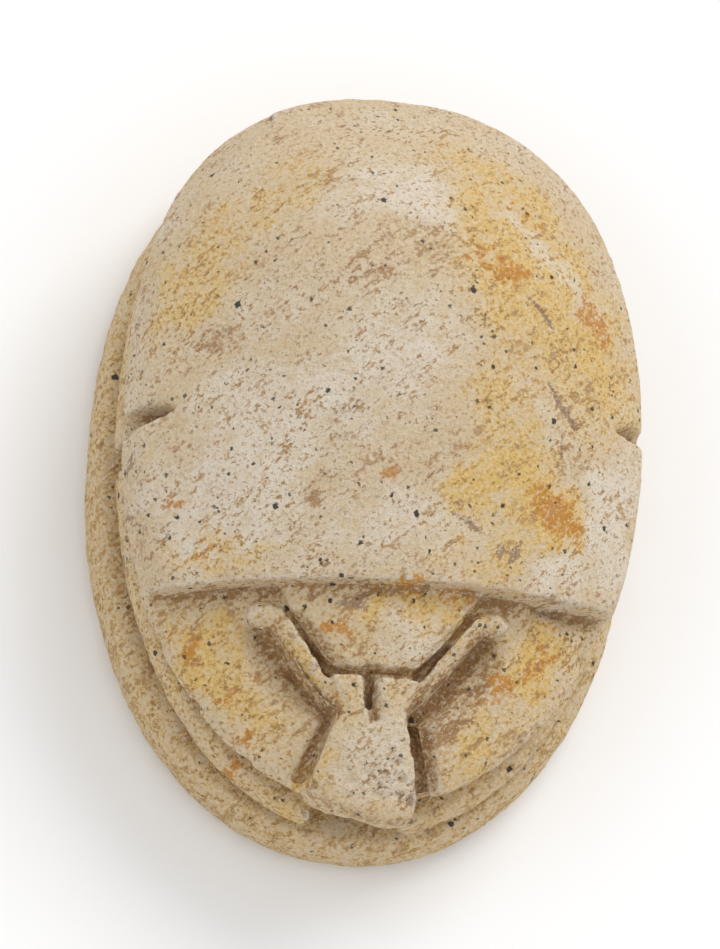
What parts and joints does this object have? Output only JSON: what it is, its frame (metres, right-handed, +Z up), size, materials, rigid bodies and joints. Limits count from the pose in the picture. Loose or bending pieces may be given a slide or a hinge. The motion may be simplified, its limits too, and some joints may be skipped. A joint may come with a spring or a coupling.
{
  "type": "scarab amulet",
  "caption": "Beetle-shaped stone amulet with a domed back, notched sides, a carved head and legs on an oval plinth, pierced lengthwise for a cord.",
  "frame": {"origin": "middle of the flat underside", "axes": "+Z up out of the back, +Y along the length towards the tail, -Y towards the head, +X towards the beetle's own left side"},
  "size_m": [0.0128, 0.018, 0.0076],
  "materials": {
    "steatite": "fired steatite with its glaze worn off: matt cream stone with ochre stains, brown dirt in the carving and fine dark specks"
  },
  "bodies": {
    "root": {"scarab": "steatite"}
  },
  "joints": []
}
